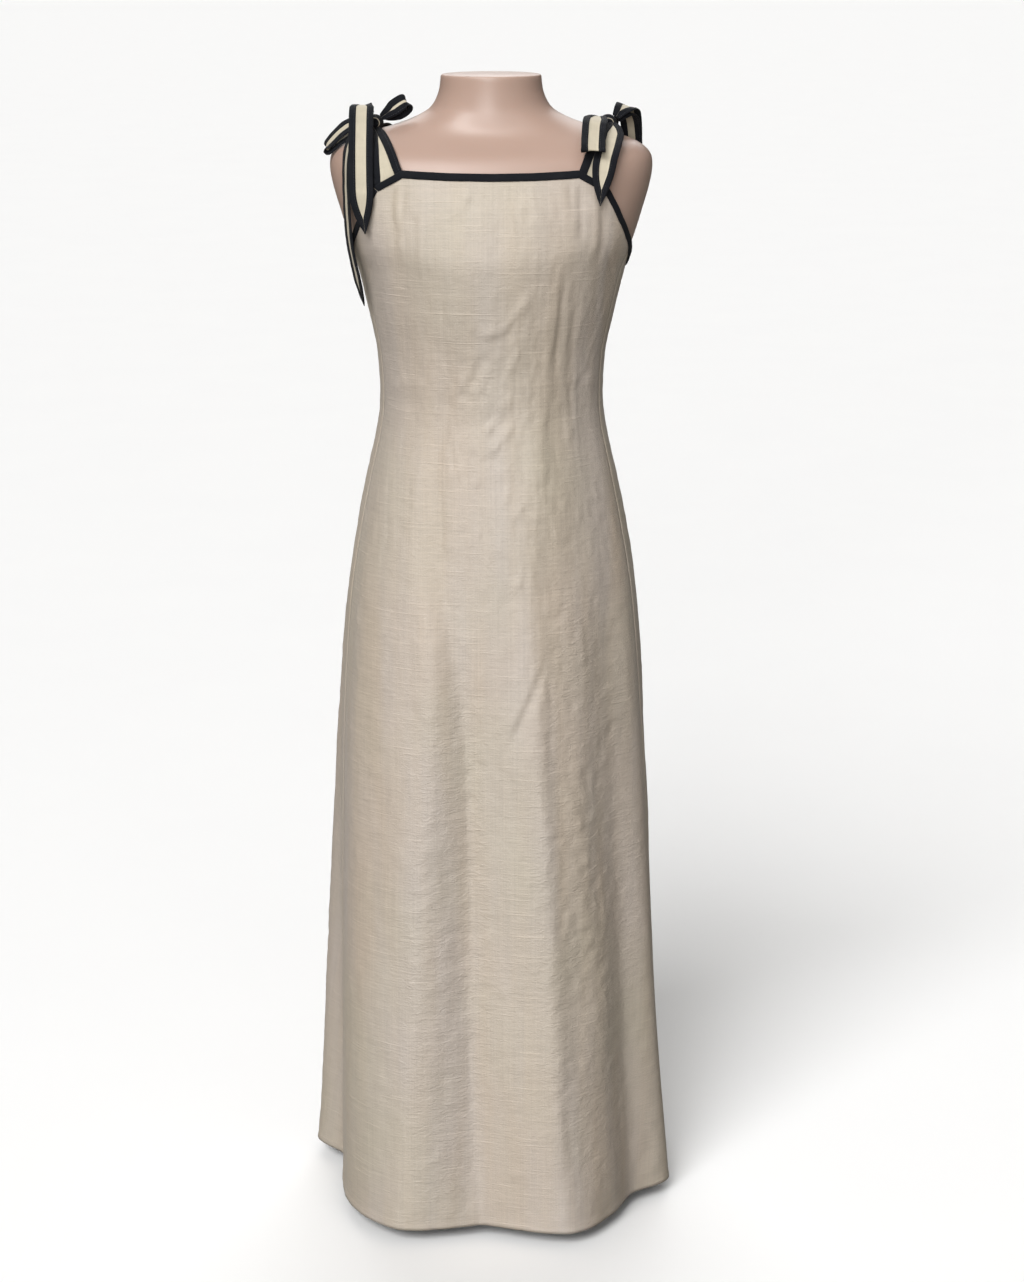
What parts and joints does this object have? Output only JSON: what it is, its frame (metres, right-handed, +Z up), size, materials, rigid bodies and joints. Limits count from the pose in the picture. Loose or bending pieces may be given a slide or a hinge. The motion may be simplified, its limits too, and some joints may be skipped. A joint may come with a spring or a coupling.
{
  "type": "sundress on a dress form",
  "caption": "Sleeveless A-line maxi sundress with bow-tied shoulder straps, worn by a limbless dress form on a round base.",
  "frame": {"origin": "middle of the form's round base, on its underside", "axes": "+Z up along the form's pole, -Y out of the front of the dress, +X towards the wearer's left"},
  "size_m": [0.4577, 0.431, 1.387],
  "materials": {
    "cloth_front": "beige slub-woven cloth with a soft sheen",
    "cloth_back": "beige slub-woven cloth with a soft sheen",
    "binding": "near-black bias tape",
    "tie": "beige tie with near-black bound edges",
    "knot": "near-black bound edges drawn into a knot",
    "form_shell": "smooth satin flesh-coloured plastic",
    "form_metal": "plain brushed steel"
  },
  "bodies": {
    "root": {"front_panel": "cloth_front", "back_panel": "cloth_back", "front_neck_binding": "binding", "back_neck_binding": "binding", "left_armhole_binding": "binding", "right_armhole_binding": "binding", "left_front_strap": "tie", "right_front_strap": "tie", "left_back_strap": "tie", "right_back_strap": "tie", "left_knot": "knot", "right_knot": "knot", "left_front_tail": "tie", "left_back_tail": "tie", "left_front_loop": "tie", "left_outer_loop": "tie", "right_front_tail": "tie", "right_side_tail": "tie", "right_inner_loop": "tie", "right_outer_loop": "tie", "form_torso": "form_shell", "form_pole": "form_metal", "form_base": "form_metal"}
  },
  "joints": []
}
